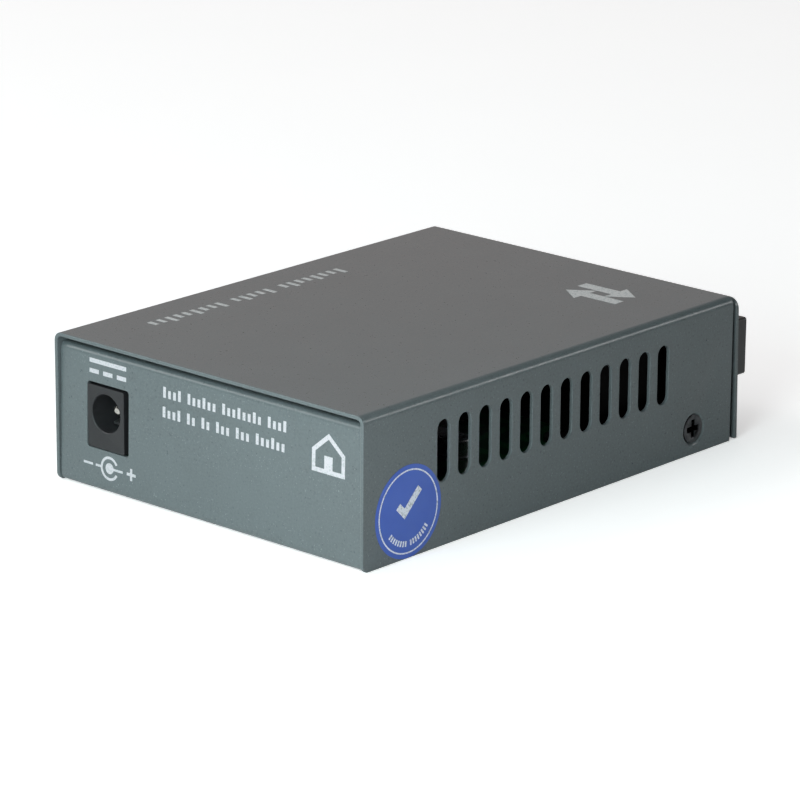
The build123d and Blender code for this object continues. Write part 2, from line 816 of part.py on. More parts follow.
def smoothing_capacitors():
    """Upright cans with a rolled bead near the foot."""
    rim, bead = can_bead, can_bead
    profile = [
        (0, 0),
        (can_radius - 2 * rim, 0),
        (can_radius - 2 * rim, rim),
        (can_radius, 2 * rim),
        (can_radius, 4 * rim),
        (can_radius - bead, 5 * rim),
        (can_radius, 6 * rim),
        (can_radius, can_height - rim),
        (can_radius - rim, can_height),
        (can_radius - 2 * rim, can_height),
        (can_radius - 2.5 * rim, can_height - rim / 2),
        (0, can_height - rim / 2),
    ]
    return Compound([spun(profile, x, y, board_top) for x, y in can_places])


def inductor_core():
    """Ferrite drum with two rims."""
    upper = drum_height - drum_rim
    profile = [
        (0, 0),
        (drum_radius, 0),
        (drum_radius, drum_rim),
        (drum_core_radius, drum_rim),
        (drum_core_radius, upper),
        (drum_radius, upper),
        (drum_radius, drum_height),
        (0, drum_height),
    ]
    return spun(profile, *drum_at, board_top)


def inductor_winding():
    """Copper winding between the drum's rims."""
    inner = drum_core_radius + touch_gap
    low, high = drum_rim + touch_gap, drum_height - drum_rim - touch_gap
    bulge = winding_radius - 2 * leg_thickness
    profile = [
        (inner, low),
        (bulge, low),
        (winding_radius, low + 2 * leg_thickness),
        (winding_radius, high - 2 * leg_thickness),
        (bulge, high),
        (inner, high),
    ]
    return spun(profile, *drum_at, board_top)


def small_parts(size, count, middle_x, y):
    """Row of like surface parts, spread evenly about middle_x."""
    places = [middle_x + (n - (count - 1) / 2) * small_part_pitch for n in range(count)]
    return [block(x, y, board_top, *size) for x in places]


chip_x, chip_y = chip_at
row_gap = chip_size[1] / 2 + leg_reach + small_row_gap
nodes = {
    "top_cover": top_cover(),
    "base_chassis": base_chassis(),
    "cover_screws": cover_screws(),
    "side_label": side_label(),
    "circuit_board": circuit_board(),
    "board_standoffs": board_standoffs(),
    "board_screws": board_screws(),
    "dc_inlet_housing": dc_inlet_housing(),
    "dc_inlet_pin": dc_inlet_pin(),
    "dc_inlet_contacts": dc_inlet_contacts(),
    "network_jack_shield": network_jack_shield(),
    "network_jack_insert": network_jack_insert(),
    "network_jack_contacts": network_jack_contacts(),
    "fibre_module_housing": fibre_module_housing(),
    "fibre_port_inserts": fibre_port_inserts(),
    "fibre_port_sleeves": fibre_port_sleeves(),
    "fibre_module_pins": fibre_module_pins(),
    "lamp_holders": lamp_holders(),
    "status_lamps": status_lamps(),
    "converter_chip": package(chip_size, chip_at),
    "converter_chip_legs": legs(chip_size, chip_at, chip_leg_count, chip_leg_pitch, (0, 90, 180, 270)),
    "memory_chip": package(memory_size, memory_at),
    "memory_chip_legs": legs(memory_size, memory_at, memory_leg_count, memory_leg_pitch, (0, 180)),
    "line_transformer": package(transformer_size, transformer_at),
    "line_transformer_legs": legs(
        transformer_size, transformer_at, transformer_leg_count, transformer_leg_pitch, (90, 270)
    ),
    "clock_crystal": clock_crystal(),
    "voltage_regulators": voltage_regulators(),
    "protection_diode": protection_diode(),
    "smoothing_capacitors": smoothing_capacitors(),
    "inductor_core": inductor_core(),
    "inductor_winding": inductor_winding(),
    "ceramic_capacitors": Compound(small_parts(capacitor_size, capacitor_count, chip_x, chip_y - row_gap)),
    "chip_resistors": Compound(small_parts(resistor_size, resistor_count, chip_x, chip_y + row_gap)),
}

os.makedirs("parts", exist_ok=True)
for name, piece in nodes.items():
    export_step(piece, f"parts/{name}.step")
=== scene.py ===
import math

import bmesh
import bpy
from mathutils import Matrix, Vector


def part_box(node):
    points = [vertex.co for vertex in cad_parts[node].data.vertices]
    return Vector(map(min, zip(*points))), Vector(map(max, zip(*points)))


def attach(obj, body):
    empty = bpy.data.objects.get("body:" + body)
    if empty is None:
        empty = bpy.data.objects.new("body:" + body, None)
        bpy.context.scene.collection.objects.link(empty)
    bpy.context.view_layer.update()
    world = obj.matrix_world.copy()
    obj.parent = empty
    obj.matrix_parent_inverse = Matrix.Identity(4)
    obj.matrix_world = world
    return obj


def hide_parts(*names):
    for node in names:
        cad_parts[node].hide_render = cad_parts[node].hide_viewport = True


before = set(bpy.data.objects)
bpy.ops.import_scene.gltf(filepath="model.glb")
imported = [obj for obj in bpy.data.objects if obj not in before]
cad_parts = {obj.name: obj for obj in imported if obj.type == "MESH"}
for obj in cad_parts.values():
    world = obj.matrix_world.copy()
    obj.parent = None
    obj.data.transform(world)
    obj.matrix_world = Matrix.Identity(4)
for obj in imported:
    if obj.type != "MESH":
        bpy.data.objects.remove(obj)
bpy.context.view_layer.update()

# Sizes are in millimetres, in the frame of the solids: X across, Y towards the ports, Z up.
MM = 0.001

# Faces of the solids
cover_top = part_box("top_cover")[1].z / MM
front_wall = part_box("base_chassis")[1].y / MM
label_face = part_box("side_label")[1].x / MM
head_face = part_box("cover_screws")[1].x / MM
board_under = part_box("circuit_board")[0].z / MM
rear_foot = (-50.55, 0.2)
rear_lean = math.radians(1.2)
label_middle = (-40.15, 8.0)
module_seam = 34.35
sleeve_top = 18.68

# Heads of the cover screws
head_play = 0.16
rim_share = 0.95
rim_rounding = 0.22
rim_angle = math.radians(20)

# Leads that are soldered under the board
module_x = 20.3
module_pin_row = 15.25
module_pin_pitch = 2.54
module_pin_count = 9
jack_x = -3.7
contact_row = 25.85
contact_pitch = 1.02
contact_count = 8
shield_tail_row = 35.85
shield_tail_reach = 7.85
inlet_x = -23.6
inlet_lead_rows = (-40.58, -35.58)
joint_depth = 0.9
joint_foot = 0.7
joint_tip = 0.32

# Winding of the inductor
winding_turns = 6.0
wire_radius = 0.185

# Ink: how far a film stands out of its face and reaches below it, and its bars of print
ink_proud = 0.012
ink_depth = 0.03
rear_print_shift = 0.3
word_gap = 0.9
tall_every = 3
rear_bars = {"step": 1.15, "width": 0.62, "low": 1.35, "tall": 1.85}
cover_bars = {"step": 2.02, "width": 0.9, "low": 2.1, "tall": 2.9}
port_bars = {"step": 0.9, "width": 0.45, "low": 1.2, "tall": 1.6}
column_bars = {"step": 0.7, "width": 0.36, "low": 0.95, "tall": 1.3}
lamp_bars = {"step": 0.6, "width": 0.32, "low": 0.85, "tall": 1.15}

# Meshes: distances within which points are one, in metres, and the angles of flat and sharp edges
weld_reach = 1e-6
ink_weld_reach = 1e-7
flat_angle = math.radians(0.4)
ease_angle = math.radians(32)
sharp_angle = math.radians(40)
ease_steps = 2

# Nodes that most finishes use, and the ranges that hold most of a noise and its upper part
NOISE = "ShaderNodeTexNoise"
RANGE = "ShaderNodeMapRange"
MIX = "ShaderNodeMix"
BUMP = "ShaderNodeBump"
MATH = "ShaderNodeMath"
AXES = "ShaderNodeSeparateXYZ"
most = {"From Min": 0.3, "From Max": 0.7}
upper = {"From Min": 0.35, "From Max": 0.7}


def linear(code):
    """Linear colour of an sRGB hex value."""
    parts = [int(code[n : n + 2], 16) / 255 for n in (1, 3, 5)]
    return (*[c / 12.92 if c <= 0.04045 else ((c + 0.055) / 1.055) ** 2.4 for c in parts], 1.0)


def pitch(size):
    """Texture scale at which a pattern repeats about every size millimetres."""
    return 1.0 / (size * MM)


def feed(tree, node, inputs):
    """Gives inputs of a node a value, or a link from a socket or another node's first enabled output."""
    for name, value in inputs.items():
        if isinstance(value, bpy.types.Node):
            value = next(output for output in value.outputs if output.enabled)
        if isinstance(value, bpy.types.NodeSocket):
            tree.links.new(value, node.inputs[name])
        else:
            node.inputs[name].default_value = value
    return node


def add(tree, kind, inputs=None, **settings):
    """Adds a node with its settings and its inputs."""
    node = tree.nodes.new(kind)
    for name, value in settings.items():
        setattr(node, name, value)
    return feed(tree, node, inputs or {})


def start_finish(name, inputs=None):
    """New material with values for its shader: material, node tree, shader and object coordinates."""
    material = bpy.data.materials.new(name)
    material.use_nodes = True
    tree = material.node_tree
    shader = feed(tree, tree.nodes["Principled BSDF"], inputs or {})
    return material, tree, shader, add(tree, "ShaderNodeTexCoord").outputs["Object"]


def powder_coated_steel(name, colour, fleck):
    """Fine-textured polyester powder coat on folded steel.

    To the eye it is a satin grey with a sandy grain of about 0.4 mm and a few paler grains.
    """
    material, tree, shader, place = start_finish(name)
    grain = add(tree, NOISE, {"Vector": place, "Scale": pitch(0.42), "Detail": 3.0, "Roughness": 0.6})
    clouds = add(tree, NOISE, {"Vector": place, "Scale": pitch(9.0), "Detail": 3.0})
    specks = add(tree, NOISE, {"Vector": place, "Scale": pitch(0.24), "Detail": 0.0})
    cloudy = add(tree, RANGE, {"Value": clouds, **most, "To Max": 0.35})
    grainy = add(tree, RANGE, {"Value": grain, "From Min": 0.35, "From Max": 0.65, "To Max": 0.8})
    specked = add(tree, RANGE, {"Value": specks, "From Min": 0.74, "From Max": 0.82, "To Max": 0.45})
    base = linear(colour)
    for amount, layer in ((cloudy, fleck), (grainy, fleck), (specked, "#8B9697")):
        base = add(tree, MIX, {"Factor": amount, 6: base, 7: linear(layer)}, data_type="RGBA")
    rough = add(tree, RANGE, {"Value": grain, **most, "To Min": 0.27, "To Max": 0.38})
    bump = add(tree, BUMP, {"Height": grain, "Distance": 0.02 * MM, "Strength": 0.6})
    feed(tree, shader, {"Base Color": base, "Roughness": rough, "Normal": bump})
    return material


def screen_ink(name, colour):
    """Epoxy screen ink: a pale dry film that thins out a little over the grain below it."""
    material, tree, shader, place = start_finish(name, {"Roughness": 0.6})
    grain = add(tree, NOISE, {"Vector": place, "Scale": pitch(0.3)})
    cover = add(tree, RANGE, {"Value": grain, "From Min": 0.3, "From Max": 0.5})
    base = add(tree, MIX, {"Factor": cover, 6: linear("#A0A9AA"), 7: linear(colour)}, data_type="RGBA")
    bump = add(tree, BUMP, {"Height": grain, "Distance": 0.01 * MM, "Strength": 0.5})
    feed(tree, shader, {"Base Color": base, "Normal": bump})
    return material


def two_tone_module(name, body, nose):
    """Moulded fibre module: a black body, and past the seam a paler nose dulled by handling."""
    material, tree, shader, place = start_finish(name)
    y = add(tree, AXES, {"Vector": place}).outputs["Y"]
    seam = {"From Min": (module_seam - 0.1) * MM, "From Max": (module_seam + 0.1) * MM}
    past = add(tree, RANGE, {"Value": y, **seam})
    haze = add(tree, NOISE, {"Vector": place, "Scale": pitch(4.0), "Detail": 3.0})
    grain = add(tree, NOISE, {"Vector": place, "Scale": pitch(0.18)})
    hazy = add(tree, RANGE, {"Value": haze, "From Min": 0.35, "From Max": 0.75, "To Max": 0.15})
    handled = add(tree, MIX, {"Factor": hazy, 6: linear(nose), 7: linear("#707275")}, data_type="RGBA")
    base = add(tree, MIX, {"Factor": past, 6: linear(body), 7: handled}, data_type="RGBA")
    rough = add(tree, RANGE, {"Value": haze, **most, "To Min": 0.4, "To Max": 0.52})
    shine = add(tree, RANGE, {"Value": past, "To Min": 0.03, "To Max": 0.5})
    bump = add(tree, BUMP, {"Height": grain, "Distance": 0.008 * MM, "Strength": 0.5})
    feed(tree, shader, {"Base Color": base, "Roughness": rough, "Specular IOR Level": shine, "Normal": bump})
    return material


def moulded_plastic(name, colour, worn, roughness=0.45, grain_size=0.18):
    """Injection-moulded plastic with a spark-eroded grain, a little paler where it is rubbed."""
    material, tree, shader, place = start_finish(name)
    grain = add(tree, NOISE, {"Vector": place, "Scale": pitch(grain_size)})
    haze = add(tree, NOISE, {"Vector": place, "Scale": pitch(5.0), "Detail": 3.0})
    rubbed = add(tree, RANGE, {"Value": haze, **upper, "To Max": 0.6})
    base = add(tree, MIX, {"Factor": rubbed, 6: linear(colour), 7: linear(worn)}, data_type="RGBA")
    rough = add(tree, RANGE, {"Value": haze, **most, "To Min": roughness - 0.06, "To Max": roughness + 0.08})
    bump = add(tree, BUMP, {"Height": grain, "Distance": 0.008 * MM, "Strength": 0.5})
    feed(tree, shader, {"Base Color": base, "Roughness": rough, "Normal": bump})
    return material


def plated_metal(name, colour, dull, roughness=0.3, squeeze=(1.0, 12.0, 12.0)):
    """Plated metal with faint drawing or rolling lines along the axis that is squeezed least."""
    material, tree, shader, place = start_finish(name, {"Metallic": 1.0})
    drawn = add(tree, "ShaderNodeMapping", {"Vector": place, "Scale": squeeze})
    lines = add(tree, NOISE, {"Vector": drawn, "Scale": pitch(2.4), "Detail": 3.0, "Roughness": 0.6})
    stains = add(tree, NOISE, {"Vector": place, "Scale": pitch(2.5), "Detail": 3.0})
    stained = add(tree, RANGE, {"Value": stains, "From Min": 0.4, "From Max": 0.75})
    base = add(tree, MIX, {"Factor": stained, 6: linear(colour), 7: linear(dull)}, data_type="RGBA")
    rough = add(tree, RANGE, {"Value": lines, **most, "To Min": roughness - 0.08, "To Max": roughness + 0.12})
    bump = add(tree, BUMP, {"Height": lines, "Distance": 0.004 * MM, "Strength": 0.4})
    feed(tree, shader, {"Base Color": base, "Roughness": rough, "Normal": bump})
    return material


def oxidised_screws():
    """Black oxide on steel screws, with painted shade: the recess and the rim of each head, below its face,
    are painted near black.
    """
    material, tree, shader, place = start_finish("black_oxide_steel", {"Metallic": 1.0})
    x = add(tree, AXES, {"Vector": place}).outputs["X"]
    out = add(tree, MATH, {0: x}, operation="ABSOLUTE")
    # Painted shade by depth: from 0.08 mm to 0.3 mm below the head's face the screw turns near black.
    painted_shade_depths = {"From Min": (head_face - 0.3) * MM, "From Max": (head_face - 0.08) * MM}
    unshaded_face = add(tree, RANGE, {"Value": out, **painted_shade_depths})
    wear = add(tree, NOISE, {"Vector": place, "Scale": pitch(0.8), "Detail": 3.0})
    rubbed = add(tree, RANGE, {"Value": wear, **upper})
    worn = add(tree, MIX, {"Factor": rubbed, 6: linear("#434446"), 7: linear("#58595B")}, data_type="RGBA")
    # Painted shade: near black in the recess and round the rim, the worn oxide colour on the face.
    base = add(tree, MIX, {"Factor": unshaded_face, 6: linear("#060606"), 7: worn}, data_type="RGBA")
    rough = add(tree, RANGE, {"Value": unshaded_face, "To Min": 0.7, "To Max": 0.32})
    bump = add(tree, BUMP, {"Height": wear, "Distance": 0.01 * MM, "Strength": 0.4})
    feed(tree, shader, {"Base Color": base, "Roughness": rough, "Normal": bump})
    return material


def printed_vinyl(name, colour):
    """Gloss vinyl label: nearly even blue with a slight orange peel."""
    material, tree, shader, place = start_finish(name, {"Roughness": 0.32})
    peel = add(tree, NOISE, {"Vector": place, "Scale": pitch(1.4), "Detail": 1.0})
    tint = add(tree, NOISE, {"Vector": place, "Scale": pitch(6.0)})
    amount = add(tree, RANGE, {"Value": tint, **most, "To Max": 0.5})
    base = add(tree, MIX, {"Factor": amount, 6: linear(colour), 7: linear("#4567BC")}, data_type="RGBA")
    bump = add(tree, BUMP, {"Height": peel, "Distance": 0.01 * MM, "Strength": 0.3})
    feed(tree, shader, {"Base Color": base, "Normal": bump})
    return material


def solder_masked_board():
    """Glass-fibre board under green solder mask, with copper tracks that show as paler green lines.

    A wave texture turns by 20 radians for each unit of its scale, and here by one for each 0.8 mm.
    """
    material, tree, shader, place = start_finish("solder_masked_fr4", {"Roughness": 0.28})
    tiles = {"Vector": place, "Scale": pitch(7.0)}
    cells = add(tree, "ShaderNodeTexVoronoi", tiles, distance="CHEBYCHEV").outputs["Color"]
    pick = add(tree, "ShaderNodeSeparateColor", {"Color": cells})
    waves = {"Vector": place, "Scale": pitch(0.8) / 20}
    across = add(tree, "ShaderNodeTexWave", waves, bands_direction="X").outputs["Fac"]
    along = add(tree, "ShaderNodeTexWave", waves, bands_direction="Y").outputs["Fac"]
    turn = add(tree, RANGE, {"Value": pick, "From Min": 0.49, "From Max": 0.51})
    tracks = add(tree, MIX, {"Factor": turn, 2: across, 3: along})
    copper = add(tree, RANGE, {"Value": tracks, "From Min": 0.55, "From Max": 0.65})
    base = add(tree, MIX, {"Factor": copper, 6: linear("#0B3A22"), 7: linear("#1C5A35")}, data_type="RGBA")
    bump = add(tree, BUMP, {"Height": copper, "Distance": 0.03 * MM, "Strength": 0.6})
    feed(tree, shader, {"Base Color": base, "Normal": bump})
    return material


def tinned_chip_part(name, body, middle_y, reach):
    """Fired chip part in a row across the board: its body, with tinned ends past reach from middle_y."""
    material, tree, shader, place = start_finish(name, {"Roughness": 0.4})
    y = add(tree, AXES, {"Vector": place}).outputs["Y"]
    shifted = add(tree, MATH, {0: y, 1: middle_y * MM}, operation="SUBTRACT")
    distance = add(tree, MATH, {0: shifted}, operation="ABSOLUTE")
    edge = {"From Min": (reach - 0.03) * MM, "From Max": (reach + 0.03) * MM}
    end = add(tree, RANGE, {"Value": distance, **edge})
    grain = add(tree, NOISE, {"Vector": place, "Scale": pitch(0.15)})
    base = add(tree, MIX, {"Factor": end, 6: linear(body), 7: linear("#C8C8C8")}, data_type="RGBA")
    bump = add(tree, BUMP, {"Height": grain, "Distance": 0.01 * MM, "Strength": 0.5})
    feed(tree, shader, {"Base Color": base, "Metallic": end, "Normal": bump})
    return material


def sleeved_can():
    """Electrolytic capacitor: shrunk plastic sleeve, and the bare aluminium disc in the top."""
    material, tree, shader, place = start_finish("sleeved_aluminium_can", {"Roughness": 0.35})
    z = add(tree, AXES, {"Vector": place}).outputs["Z"]
    edge = {"From Min": (sleeve_top - 0.02) * MM, "From Max": (sleeve_top + 0.02) * MM}
    disc = add(tree, RANGE, {"Value": z, **edge})
    wrinkles = add(tree, NOISE, {"Vector": place, "Scale": pitch(1.2)})
    base = add(tree, MIX, {"Factor": disc, 6: linear("#0F131B"), 7: linear("#C9CACC")}, data_type="RGBA")
    bump = add(tree, BUMP, {"Height": wrinkles, "Distance": 0.03 * MM, "Strength": 0.4})
    feed(tree, shader, {"Base Color": base, "Metallic": disc, "Normal": bump})
    return material


def tinted_lamp():
    """Diffused epoxy lamp, unlit: milky green resin that lets a little light through."""
    resin = {"Roughness": 0.18, "Subsurface Weight": 0.35, "Subsurface Scale": 1.0 * MM}
    material, tree, shader, place = start_finish("diffused_lamp_epoxy", resin)
    depth = add(tree, NOISE, {"Vector": place, "Scale": pitch(2.0)})
    base = add(tree, MIX, {"Factor": depth, 6: linear("#7FA873"), 7: linear("#93BC86")}, data_type="RGBA")
    feed(tree, shader, {"Base Color": base})
    return material


def studio_floor():
    """Matt white paper, overexposed for the camera alone, so that only a soft contact shadow shows."""
    paper = {"Roughness": 0.9, "Specular IOR Level": 0.1, "Emission Color": (0.42, 0.42, 0.42, 1.0)}
    material, tree, shader, place = start_finish("white_paper_sweep", paper)
    fibres = add(tree, NOISE, {"Vector": place, "Scale": pitch(30.0)})
    base = add(tree, MIX, {"Factor": fibres, 6: linear("#F9F9F9"), 7: linear("#FBFBFB")}, data_type="RGBA")
    seen = add(tree, "ShaderNodeLightPath").outputs["Is Camera Ray"]
    feed(tree, shader, {"Base Color": base, "Emission Strength": seen})
    return material


coat = powder_coated_steel("powder_coated_steel", "#565E60", "#606A6C")
pale_ink = screen_ink("pale_screen_ink", "#BFBEC3")
grey_ink = screen_ink("grey_screen_ink", "#C9CACA")
label_ink = screen_ink("white_label_ink", "#DDE3EC")
black_pbt = moulded_plastic("moulded_black_pbt", "#212224", "#27282A")
black_lcp = moulded_plastic("moulded_black_lcp", "#1D1E20", "#292A2C", 0.5, 0.25)
port_plastic = two_tone_module("moulded_module_plastic", "#060607", "#353637")
grey_pbt = moulded_plastic("moulded_grey_pbt", "#55585C", "#63666A")
chip_epoxy = moulded_plastic("moulded_chip_epoxy", "#17181A", "#222326", 0.55, 0.12)
black_zinc = plated_metal("black_zinc_plated_steel", "#3A3A3C", "#2A2A2C", 0.34)
black_oxide = oxidised_screws()
bright_zinc = plated_metal("bright_zinc_plated_steel", "#C9CCD0", "#B2B4B8", 0.3)
nickel = plated_metal("nickel_plated_brass", "#D8D6D0", "#C4C1BA", 0.16)
tin = plated_metal("tinned_copper", "#BDBDBD", "#9C9C9C", 0.4)
gold = plated_metal("gold_flashed_bronze", "#E0BE72", "#C9A55C", 0.22)
enamelled = plated_metal("enamelled_copper_wire", "#B8683A", "#A25730", 0.3, (6.0, 6.0, 1.0))
zirconia = moulded_plastic("fired_zirconia", "#E6E4DC", "#DAD7CC", 0.2, 0.3)
ferrite = moulded_plastic("sintered_ferrite", "#1D1E20", "#28292B", 0.75, 0.2)
blue_vinyl = printed_vinyl("printed_blue_vinyl", "#395BB6")

node_finishes = {
    "side_label": blue_vinyl,
    "circuit_board": solder_masked_board(),
    "board_standoffs": bright_zinc,
    "board_screws": black_zinc,
    "dc_inlet_pin": nickel,
    "dc_inlet_contacts": tin,
    "network_jack_contacts": gold,
    "fibre_port_sleeves": zirconia,
    "fibre_module_pins": tin,
    "status_lamps": tinted_lamp(),
    "converter_chip": chip_epoxy,
    "converter_chip_legs": tin,
    "memory_chip": chip_epoxy,
    "memory_chip_legs": tin,
    "line_transformer": chip_epoxy,
    "line_transformer_legs": tin,
    "clock_crystal": bright_zinc,
    "voltage_regulators": chip_epoxy,
    "protection_diode": chip_epoxy,
    "smoothing_capacitors": sleeved_can(),
    "inductor_core": ferrite,
    "ceramic_capacitors": tinned_chip_part("fired_ceramic_capacitor", "#A58A68", -18.7, 0.65),
    "chip_resistors": tinned_chip_part("thick_film_resistor", "#1B1B1D", 2.5, 0.5),
}
for node, material in node_finishes.items():
    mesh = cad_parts[node].data
    mesh.materials.clear()
    mesh.materials.append(material)


def placed(name, data):
    """New object in the scene."""
    thing = bpy.data.objects.new(name, data)
    bpy.context.scene.collection.objects.link(thing)
    return thing


def baked(draft):
    """Plain mesh of a draft object with its modifiers applied; the draft goes, its own data stays."""
    done = bpy.data.meshes.new_from_object(draft.evaluated_get(bpy.context.evaluated_depsgraph_get()))
    draft.modifiers.clear()
    bpy.data.objects.remove(draft)
    return done


def finish_piece(name, mesh, material, replaced=()):
    """Object for a finished mesh: given its material and body, with the nodes it stands for hidden."""
    piece = placed(name, mesh)
    mesh.name = name
    mesh.materials.clear()
    mesh.materials.append(material)
    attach(piece, "root")
    if replaced:
        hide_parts(*replaced)


def eased(node, name, radius, material, held=False):
    """Copy of a solid whose sharp edges are rounded over, as paint or moulding leaves them.

    Where held is true, the radius gives way to the smallest edge nearby, which keeps crowded
    corners from folding over.
    """
    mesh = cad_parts[node].data.copy()
    work = bmesh.new()
    work.from_mesh(mesh)
    bmesh.ops.remove_doubles(work, verts=work.verts, dist=weld_reach)
    bmesh.ops.dissolve_limit(work, angle_limit=flat_angle, verts=work.verts, edges=work.edges)
    work.to_mesh(mesh)
    work.free()
    draft = placed(name + "_draft", mesh)
    bevel = draft.modifiers.new("ease", "BEVEL")
    bevel.width = radius * MM
    bevel.segments = ease_steps
    bevel.use_clamp_overlap = held
    bevel.loop_slide = held
    bevel.limit_method = "ANGLE"
    bevel.angle_limit = ease_angle
    bevel.harden_normals = True
    for polygon in mesh.polygons:
        polygon.use_smooth = True
    mesh.set_sharp_from_angle(angle=sharp_angle)
    done = baked(draft)
    bpy.data.meshes.remove(mesh)
    finish_piece(name, done, material, (node,))


# The heads of the cover screws end just short of their dimples, and their rims are turned over.
low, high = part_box("cover_screws")
axis = (low + high) / 2
head_radius = (high.z - low.z) / 2
heads = bmesh.new()
heads.from_mesh(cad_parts["cover_screws"].data)
bmesh.ops.remove_doubles(heads, verts=heads.verts, dist=weld_reach)
rim = set()
for vertex in heads.verts:
    out = Vector((0.0, vertex.co.y - axis.y, vertex.co.z - axis.z))
    if out.length > rim_share * head_radius:
        vertex.co -= out.normalized() * head_play * MM
        rim.add(vertex)
heads.normal_update()
rim_edges = [
    edge
    for edge in heads.edges
    if rim.issuperset(edge.verts) and edge.calc_face_angle(0.0) > rim_angle
]
bmesh.ops.bevel(
    heads, geom=rim_edges, offset=rim_rounding * MM, segments=ease_steps, profile=0.5, affect="EDGES"
)
screw_mesh = bpy.data.meshes.new("cover_screw_heads")
heads.to_mesh(screw_mesh)
heads.free()
screw_mesh.set_sharp_from_angle(angle=sharp_angle)
finish_piece("cover_screw_heads", screw_mesh, black_oxide, ("cover_screws",))

eased("top_cover", "cover_sheet", 0.17, coat)
eased("base_chassis", "chassis_sheet", 0.12, coat, held=True)
eased("dc_inlet_housing", "dc_inlet_body", 0.14, black_pbt, held=True)
eased("fibre_module_housing", "fibre_module_body", 0.18, port_plastic, held=True)
eased("fibre_port_inserts", "fibre_port_latches", 0.07, grey_pbt)
eased("network_jack_shield", "network_jack_can", 0.08, bright_zinc)
eased("network_jack_insert", "network_jack_block", 0.06, black_lcp)
eased("lamp_holders", "lamp_blocks", 0.15, black_lcp)


def plate(name, outlines, place, material):
    """Film of ink: closed outlines in millimetres, holes among them, laid on a face by a matrix."""
    curve = bpy.data.curves.new(name + "_line", "CURVE")
    curve.dimensions = "2D"
    curve.fill_mode = "BOTH"
    curve.extrude = (ink_depth + ink_proud) / 2 * MM
    for outline in outlines:
        spline = curve.splines.new("POLY")
        spline.points.add(len(outline) - 1)
        for point, (u, v) in zip(spline.points, outline):
            point.co = (u * MM, v * MM, 0.0, 1.0)
        spline.use_cyclic_u = True
    mesh = baked(placed(name + "_draft", curve))
    bpy.data.curves.remove(curve)
    sink = Matrix.Translation((0.0, 0.0, (ink_proud - ink_depth) / 2 * MM))
    mesh.transform(place @ sink)
    work = bmesh.new()
    work.from_mesh(mesh)
    bmesh.ops.remove_doubles(work, verts=work.verts, dist=ink_weld_reach)
    bmesh.ops.dissolve_degenerate(work, dist=weld_reach, edges=work.edges)
    bmesh.ops.recalc_face_normals(work, faces=work.faces)
    work.to_mesh(mesh)
    work.free()
    finish_piece(name, mesh, material)


def face_place(origin, across, up):
    """Matrix of a face: across and up lie in it, and its third axis points out of it."""
    across = Vector(across).normalized()
    up = Vector(up).normalized()
    turned = Matrix((across, up, across.cross(up))).transposed().to_4x4()
    return Matrix.Translation(Vector(origin) * MM) @ turned


def arc(middle, radius, start, end, steps=40):
    """Points along an arc, angles in degrees."""
    turns = [math.radians(start + (end - start) * n / steps) for n in range(steps + 1)]
    return [(middle[0] + radius * math.cos(t), middle[1] + radius * math.sin(t)) for t in turns]


def oblong(left, low, right, high):
    """Outline of a rectangle."""
    return [(left, low), (right, low), (right, high), (left, high)]


# The rear face leans, so its up direction is along the sheet.
rear_up = (0.0, math.sin(rear_lean), math.cos(rear_lean))
rear_face = face_place((rear_print_shift, *rear_foot), (1.0, 0.0, 0.0), rear_up)

# Polarity symbol: an open ring with its lead is the outer contact, which is negative; the dot with
# its lead is the centre, which is positive.
ring_middle = (-23.0, 4.4)
lead_low = 4.2
lead_high = 4.6
open_ring = arc(ring_middle, 2.1, 28, 174.5) + [(-26.3, lead_high), (-26.3, lead_low)]
open_ring += arc(ring_middle, 2.1, 185.5, 332) + arc(ring_middle, 1.65, 332, 28)
centre_dot = arc(ring_middle, 0.95, 12, 348) + [(-19.9, lead_low), (-19.9, lead_high)]
minus = oblong(-29.2, lead_low, -27.0, lead_high)
plus = [
    (-18.9, 4.2), (-18.1, 4.2), (-18.1, 3.4), (-17.6, 3.4), (-17.6, 4.2), (-16.8, 4.2),
    (-16.8, 4.7), (-17.6, 4.7), (-17.6, 5.5), (-18.1, 5.5), (-18.1, 4.7), (-18.9, 4.7),
]
plate("polarity_symbol", [minus, open_ring, centre_dot, plus], rear_face, pale_ink)

# Direct current symbol above the inlet: a long bar over three short ones.
bar_left = -27.8
bar_right = -19.1
bar_level = 22.1
dash_level = 20.3
dash_length = 2.2
dash_step = (bar_right - bar_left - dash_length) / 2
line_width = 0.75
direct_current = [oblong(bar_left, bar_level, bar_right, bar_level + line_width)]
for n in range(3):
    start = bar_left + n * dash_step
    direct_current.append(oblong(start, dash_level, start + dash_length, dash_level + line_width))
plate("direct_current_symbol", direct_current, rear_face, pale_ink)

# Plain house outline, for use indoors.
house = [
    [(23.2, 14.6), (30.4, 14.6), (30.4, 18.4), (26.8, 21.4), (23.2, 18.4)],
    [(23.95, 15.35), (29.65, 15.35), (29.65, 18.05), (26.8, 20.42), (23.95, 18.05)],
    oblong(25.9, 15.35, 27.7, 17.6),
]
plate("indoor_symbol", house, rear_face, pale_ink)


def start_tree(name, sizes):
    """New geometry tree with a mesh and sizes as its inputs: the tree and the sockets they come from."""
    tree = bpy.data.node_groups.new(name, "GeometryNodeTree")
    tree.interface.new_socket("Geometry", in_out="INPUT", socket_type="NodeSocketGeometry")
    for size in sizes:
        tree.interface.new_socket(size, in_out="INPUT", socket_type="NodeSocketFloat")
    tree.interface.new_socket("Geometry", in_out="OUTPUT", socket_type="NodeSocketGeometry")
    return tree, add(tree, "NodeGroupInput").outputs


def end_tree(tree, grown_mesh, material):
    """Makes instances real, gives them their material and sends them out of the tree."""
    real = add(tree, "GeometryNodeRealizeInstances", {"Geometry": grown_mesh})
    coated = add(tree, "GeometryNodeSetMaterial", {"Geometry": real, "Material": material})
    add(tree, "NodeGroupOutput", {"Geometry": coated})
    return tree


